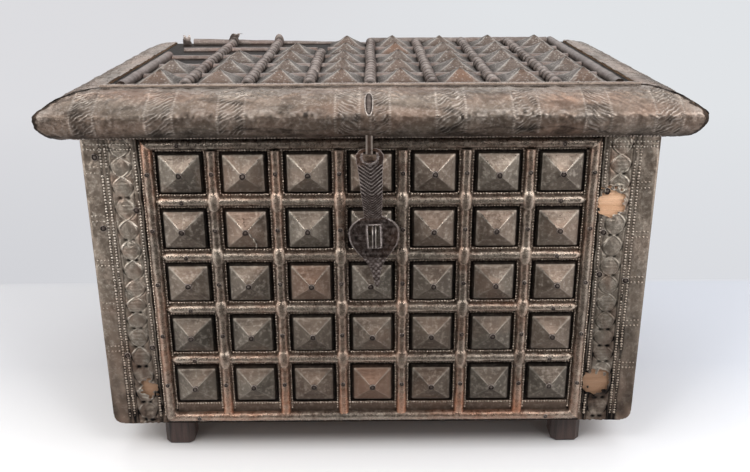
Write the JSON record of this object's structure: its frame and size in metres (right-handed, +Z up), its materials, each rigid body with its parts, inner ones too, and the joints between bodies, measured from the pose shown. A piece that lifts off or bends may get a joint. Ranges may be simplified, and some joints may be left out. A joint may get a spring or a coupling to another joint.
{
  "type": "metal-clad dowry chest",
  "caption": "Wooden dowry chest clad in embossed sheet metal, with pyramid-stud panels, a hinged lid with a heavy moulded edge and a long iron hasp over a staple.",
  "frame": {"origin": "on the floor, under the middle of the whole chest's bounding box", "axes": "+X to the right along the front, +Y from the front towards the back (hinge side), +Z up; the front with the hasp faces -Y"},
  "size_m": [0.5342, 0.3506, 0.352],
  "materials": {
    "wood": "worn, bare, dull",
    "foot_wood": "dark, worn, slightly waxed",
    "sheet_metal": "thin embossed sheet, dull grey-brown patina with coppery wear",
    "dark_iron": "wrought iron, dark, chased, worn bright on the edges",
    "nail_iron": "hammered iron heads, worn bright on the crowns"
  },
  "bodies": {
    "chest": {"back_board": "wood", "body_hinge_left": "dark_iron", "body_hinge_nails": "dark_iron", "body_hinge_right": "dark_iron", "border_nails": "nail_iron", "bottom_board": "wood", "carcass_nails": "nail_iron", "foot_back_left": "foot_wood", "foot_back_right": "foot_wood", "foot_front_left": "foot_wood", "foot_front_right": "foot_wood", "front_board": "wood", "front_boss_nails": "nail_iron", "front_bosses": "sheet_metal", "front_cross_ribs": "sheet_metal", "front_field_sheet": "sheet_metal", "front_frame_ribs": "sheet_metal", "front_left_border_sheet": "sheet_metal", "front_rib_nails": "nail_iron", "front_right_border_sheet": "sheet_metal", "front_upright_ribs": "sheet_metal", "hinge_pins": "dark_iron", "left_board": "wood", "left_boss_nails": "nail_iron", "left_bosses": "sheet_metal", "left_cross_ribs": "sheet_metal", "left_frame_ribs": "sheet_metal", "left_rib_nails": "nail_iron", "left_side_sheet": "sheet_metal", "left_upright_ribs": "sheet_metal", "lock_staple": "dark_iron", "right_board": "wood", "right_boss_nails": "nail_iron", "right_bosses": "sheet_metal", "right_cross_ribs": "sheet_metal", "right_frame_ribs": "sheet_metal", "right_rib_nails": "nail_iron", "right_side_sheet": "sheet_metal", "right_upright_ribs": "sheet_metal"},
    "lid": {"hasp_clench_plate": "dark_iron", "hasp_hanger": "dark_iron", "lid_back_batten": "wood", "lid_board": "wood", "lid_bosses": "sheet_metal", "lid_cross_slats": "sheet_metal", "lid_frame_ribs": "sheet_metal", "lid_front_lip": "sheet_metal", "lid_front_rail": "wood", "lid_front_rail_sheet": "sheet_metal", "lid_hinge_left": "dark_iron", "lid_hinge_nails": "dark_iron", "lid_hinge_right": "dark_iron", "lid_left_rail": "wood", "lid_left_rail_sheet": "sheet_metal", "lid_long_ribs": "sheet_metal", "lid_panel_sheet": "sheet_metal", "lid_right_rail": "wood", "lid_right_rail_sheet": "sheet_metal", "torn_flaps": "sheet_metal"},
    "hasp": {"hasp": "dark_iron"}
  },
  "joints": [
    {"name": "lid_hinge", "type": "hinge", "parent": "chest", "child": "lid", "pos_m": [0, 0.1713, 0.2983], "axis": [-1, 0, 0], "range_deg": [0, 110]},
    {"name": "hasp_swing", "type": "hinge", "parent": "lid", "child": "hasp", "pos_m": [-0.0014, -0.1638, 0.2945], "axis": [-1, 0, 0], "range_deg": [0, 145]}
  ]
}
